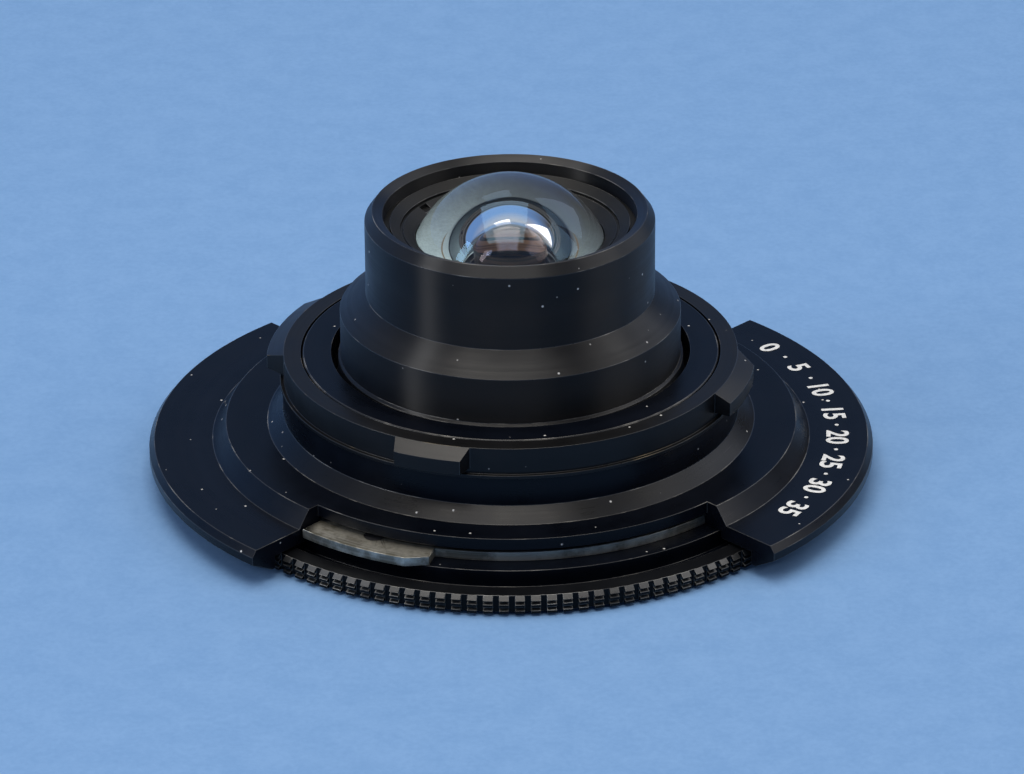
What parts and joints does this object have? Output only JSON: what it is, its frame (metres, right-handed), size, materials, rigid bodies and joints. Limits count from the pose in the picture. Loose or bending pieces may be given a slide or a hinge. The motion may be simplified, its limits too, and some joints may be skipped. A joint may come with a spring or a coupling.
{
  "type": "bayonet-mount wide-angle lens",
  "caption": "Short black ultra-wide lens with a domed rear element, a four-lug bayonet, a winged flange and a knurled focus ring between the wings.",
  "frame": {"origin": "on the optical axis, in the plane of the front ring the lens stands on", "axes": "+Z along the optical axis towards the camera, +X through the middle of the engraved wing, +Y through the gap at the back"},
  "size_m": [0.0694, 0.062, 0.03],
  "materials": {
    "black_anodised_aluminium": "satin black anodised",
    "matte_black_aluminium": "matte black anodised",
    "blackened_brass": "satin black chromed",
    "bare_brass": "turned",
    "bare_steel": "tarnished, with bright edges",
    "blackened_steel": "chemically blackened",
    "optical_glass": "polished and coated, ground at the edge"
  },
  "bodies": {
    "mount": {"flange_body": "black_anodised_aluminium", "bayonet_ring": "blackened_brass", "clamp_ring": "black_anodised_aluminium", "guide_screw": "blackened_steel", "collar_ring": "bare_brass", "collar_screws": "blackened_steel"},
    "focus": {"focus_ring": "black_anodised_aluminium", "grip_ring": "black_anodised_aluminium", "stop_plate": "bare_steel", "plate_screws": "blackened_steel", "scale_ring": "black_anodised_aluminium", "scale_screws": "blackened_steel"},
    "optics": {"optical_barrel": "black_anodised_aluminium", "rear_cell": "matte_black_aluminium", "rear_lens": "optical_glass", "rear_element_ring": "matte_black_aluminium", "rear_lock_ring": "matte_black_aluminium", "centre_cell": "matte_black_aluminium", "centre_lens": "optical_glass", "centre_retainer": "matte_black_aluminium", "front_cell": "matte_black_aluminium", "front_lens": "optical_glass", "front_element_ring": "matte_black_aluminium", "front_trim_ring": "black_anodised_aluminium"}
  },
  "joints": [
    {"name": "focus_turn", "type": "hinge", "parent": "mount", "child": "focus", "pos_m": [0, 0, 0.0015], "axis": [0, 0, 1], "range_deg": [0, 58.5]},
    {"name": "optics_slide", "type": "slide", "parent": "mount", "child": "optics", "axis": [0, 0, -1], "range_m": [0, 0.0008]}
  ],
  "couplings": [
    {"joint": "optics_slide", "follows": "focus_turn", "m_per_rad": 0.000783}
  ]
}
